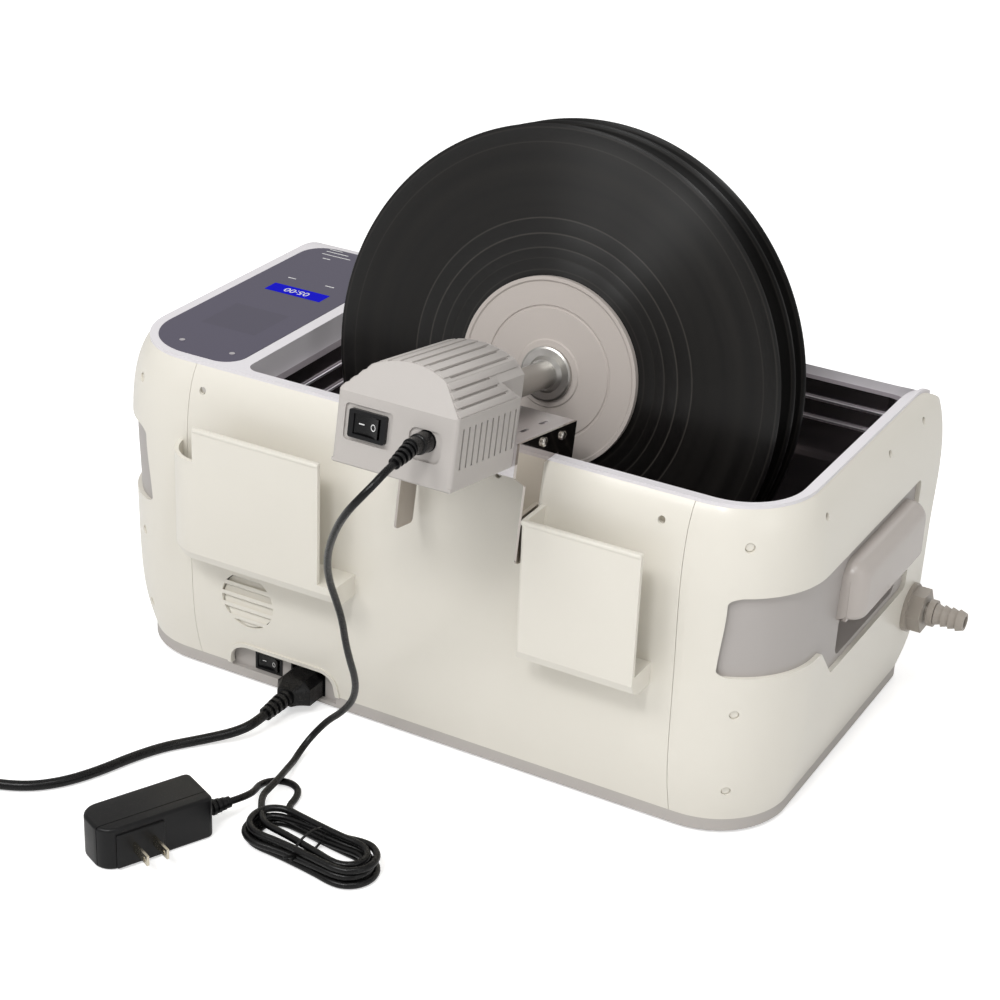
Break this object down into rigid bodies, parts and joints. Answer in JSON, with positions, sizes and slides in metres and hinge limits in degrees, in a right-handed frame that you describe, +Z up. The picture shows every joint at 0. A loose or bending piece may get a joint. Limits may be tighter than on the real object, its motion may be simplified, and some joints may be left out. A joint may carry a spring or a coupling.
{
  "type": "record cleaning machine",
  "caption": "Bench-top ultrasonic record cleaning machine: a cream rounded casing with an open bath, a clip-on motor drive turning records on an inclined spindle, lid pockets, drain and leads.",
  "frame": {"origin": "on the surface the machine stands on, below the middle of the casing", "axes": "+X towards the control panel end, -X towards the drain end, +Y towards the service side with the sockets, vent and lid pockets, +Z up"},
  "size_m": [0.601, 0.5474, 0.3865],
  "materials": {
    "casing_cream": "satin painted sheet metal",
    "frame_grey": "fine matt moulded plastic",
    "base_beige": "matt moulded plastic",
    "control_slate": "printed polyester film",
    "display_blue": "glossy window over a display",
    "grip_taupe": "matt moulded plastic",
    "trim_lavender": "matt moulded plastic",
    "bath_steel": "brushed stainless steel",
    "nickel": "bright nickel",
    "drive_grey": "fine matt moulded plastic",
    "protector_grey": "satin moulded plastic",
    "mirror_steel": "polished stainless steel",
    "shaft_aluminium": "turned aluminium",
    "vinyl_black": "glossy pressed vinyl",
    "socket_black": "matt black plastic",
    "rocker_black": "semi-gloss black plastic",
    "cord_black": "matt black cord jacket",
    "rubber_black": "matt black rubber",
    "brass_pale": "turned brass",
    "blade_brass": "plated brass",
    "board_green": "circuit board",
    "transducer_grey": "machined aluminium",
    "mark_white": "printed marks",
    "motor_steel": "plated steel"
  },
  "bodies": {
    "casing": {"rear_panel": "casing_cream", "front_panel": "casing_cream", "panel_end_shell": "casing_cream", "drain_end_shell": "casing_cream", "handle_trim_panel": "trim_lavender", "handle_trim_drain": "trim_lavender", "handle_grips": "grip_taupe", "lid_pocket_narrow": "casing_cream", "lid_pocket_wide": "casing_cream", "casing_screws": "nickel", "top_frame": "frame_grey", "control_film": "control_slate", "display_window": "display_blue", "panel_screws": "nickel", "tank": "bath_steel", "drain_elbow": "nickel", "drain_nut": "brass_pale", "hose_barb": "brass_pale", "base_tray": "base_beige", "rubber_feet": "rubber_black", "appliance_inlet": "socket_black", "mains_rocker_frame": "socket_black", "fan_frame": "socket_black", "transducers": "transducer_grey", "heater_pad": "rubber_black", "circuit_boards": "board_green", "mains_connector": "cord_black", "mains_coil_tie": "cord_black", "mains_coil": "cord_black", "mains_cord": "cord_black", "mains_cord_tail": "cord_black", "mains_plug": "cord_black"},
    "drive_unit": {"drive_housing": "drive_grey", "drive_base_plate": "drive_grey", "spindle_bearing": "brass_pale", "gear_motor": "motor_steel", "bracket_plate": "bath_steel", "bracket_sides": "mirror_steel", "bracket_screws": "nickel", "drive_rocker_frame": "socket_black", "dc_jack": "socket_black", "dc_plug": "cord_black", "dc_cord_upper": "cord_black", "dc_hank": "cord_black", "hank_tie": "cord_black", "dc_cord_lower": "cord_black", "power_adapter": "socket_black", "adapter_blades": "blade_brass"},
    "spindle": {"spindle_shaft": "shaft_aluminium", "shaft_coupling": "shaft_aluminium", "motor_output_shaft": "motor_steel", "record_outer": "vinyl_black", "record_middle": "vinyl_black", "record_inner": "vinyl_black", "label_protectors": "protector_grey", "spacer_tubes": "protector_grey", "clamp_nut": "protector_grey"},
    "mains_rocker_body": {"mains_rocker": "rocker_black"},
    "drive_rocker_body": {"drive_rocker": "rocker_black"},
    "fan_body": {"fan_rotor": "socket_black"}
  },
  "joints": [
    {"name": "drive_lift", "type": "slide", "parent": "casing", "child": "drive_unit", "axis": [0, 0, 1], "range_m": [0, 0.25]},
    {"name": "spindle_spin", "type": "hinge", "parent": "drive_unit", "child": "spindle", "pos_m": [-0.04175, 0.04985, 0.238], "axis": [0, 0.9859, 0.1676], "continuous": true},
    {"name": "mains_rocker_tilt", "type": "hinge", "parent": "casing", "child": "mains_rocker_body", "pos_m": [0.117, 0.119, 0.0164], "axis": [0, 0, 1], "range_deg": [0, 16]},
    {"name": "drive_rocker_tilt", "type": "hinge", "parent": "drive_unit", "child": "drive_rocker_body", "pos_m": [-0.02465, 0.22859, 0.26596], "axis": [0, -0.1676, 0.9859], "range_deg": [0, 16]},
    {"name": "fan_spin", "type": "hinge", "parent": "casing", "child": "fan_body", "pos_m": [0.1253, 0.1, 0.0665], "axis": [0, 1, 0], "continuous": true}
  ]
}
